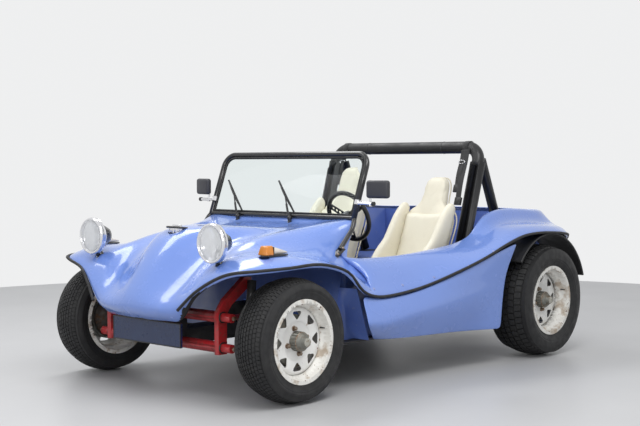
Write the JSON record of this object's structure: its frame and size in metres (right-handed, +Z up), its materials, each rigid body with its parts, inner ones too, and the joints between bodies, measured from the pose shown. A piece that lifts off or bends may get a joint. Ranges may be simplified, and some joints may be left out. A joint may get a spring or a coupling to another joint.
{
  "type": "dune buggy",
  "caption": "Open two-seat beach buggy with a moulded plastic body, headlamps on stalks, flat windscreen, padded roll bar, turning wheels and working steering.",
  "frame": {"origin": "on the ground under the middle of the car's bounding box", "axes": "+Y towards the tail, +X towards the car's left-hand side, +Z up"},
  "size_m": [1.849, 3.1908, 1.294],
  "materials": {
    "blue_gelcoat": "gloss",
    "blue_inner": "gloss",
    "black_steel": "satin",
    "black_plastic": "matte",
    "black_paint": "gloss",
    "clear_glass": "clear",
    "black_padding": "satin",
    "cream_leather": "satin",
    "black_webbing": "matte",
    "black_leather": "satin",
    "red_paint": "gloss",
    "bare_steel": "rusty",
    "grey_alloy": "cast",
    "dark_steel": "satin",
    "amber_plastic": "gloss",
    "red_plastic": "gloss",
    "chrome": "polished",
    "blue_plate": "gloss",
    "white_paint": "gloss",
    "tyre_rubber": "matte"
  },
  "bodies": {
    "chassis": {"body_shell": "blue_gelcoat", "side_pod_left": "blue_gelcoat", "side_pod_right": "blue_gelcoat", "inner_tub": "blue_inner", "floor_pan": "black_steel", "dashboard": "black_plastic", "windscreen_frame": "black_paint", "windscreen_glass": "clear_glass", "wipers": "black_plastic", "roll_bar": "black_padding", "seat_left": "cream_leather", "seat_right": "cream_leather", "seat_belts": "black_webbing", "steering_column": "black_steel", "pedals": "black_steel", "gear_lever": "black_plastic", "front_beam": "red_paint", "front_arms": "red_paint", "rear_axle": "black_steel", "gearbox": "grey_alloy", "engine_block": "grey_alloy", "exhaust": "dark_steel", "rear_arch_trims": "black_plastic", "headlamps": "black_paint", "headlamp_lenses": "clear_glass", "front_indicators": "amber_plastic", "tail_lamps": "red_plastic", "fuel_cap": "chrome", "number_plate": "blue_plate", "mirrors": "black_plastic"},
    "front_left_wheel": {"wheel_front_left": "white_paint", "tyre_front_left": "tyre_rubber", "drum_front_left": "bare_steel"},
    "front_right_wheel": {"wheel_front_right": "white_paint", "tyre_front_right": "tyre_rubber", "drum_front_right": "bare_steel"},
    "rear_left_wheel": {"wheel_rear_left": "white_paint", "tyre_rear_left": "tyre_rubber", "drum_rear_left": "bare_steel"},
    "rear_right_wheel": {"wheel_rear_right": "white_paint", "tyre_rear_right": "tyre_rubber", "drum_rear_right": "bare_steel"},
    "left_knuckle": {"knuckle_left": "bare_steel"},
    "right_knuckle": {"knuckle_right": "bare_steel"},
    "steering_wheel": {"steering_wheel": "black_leather"}
  },
  "joints": [
    {"name": "steer", "type": "hinge", "parent": "chassis", "child": "steering_wheel", "pos_m": [0.35, -0.3075, 0.868], "axis": [0, 0.9205, 0.3907], "range_deg": [-350, 350]},
    {"name": "kingpin_left", "type": "hinge", "parent": "chassis", "child": "left_knuckle", "pos_m": [0.59, -1.1575, 0.337], "axis": [0, 0, 1], "range_deg": [-25.5, 25.5]},
    {"name": "kingpin_right", "type": "hinge", "parent": "chassis", "child": "right_knuckle", "pos_m": [-0.59, -1.1575, 0.337], "axis": [0, 0, 1], "range_deg": [-25.5, 25.5]},
    {"name": "front_left_spin", "type": "hinge", "parent": "left_knuckle", "child": "front_left_wheel", "pos_m": [0.72, -1.1575, 0.306], "axis": [1, 0, 0], "continuous": true},
    {"name": "front_right_spin", "type": "hinge", "parent": "right_knuckle", "child": "front_right_wheel", "pos_m": [-0.72, -1.1575, 0.306], "axis": [1, 0, 0], "continuous": true},
    {"name": "rear_left_spin", "type": "hinge", "parent": "chassis", "child": "rear_left_wheel", "pos_m": [0.787, 0.9125, 0.336], "axis": [1, 0, 0], "continuous": true},
    {"name": "rear_right_spin", "type": "hinge", "parent": "chassis", "child": "rear_right_wheel", "pos_m": [-0.787, 0.9125, 0.336], "axis": [1, 0, 0], "continuous": true}
  ],
  "couplings": [
    {"joint": "kingpin_left", "follows": "steer", "ratio": 0.071429},
    {"joint": "kingpin_right", "follows": "steer", "ratio": 0.071429}
  ]
}
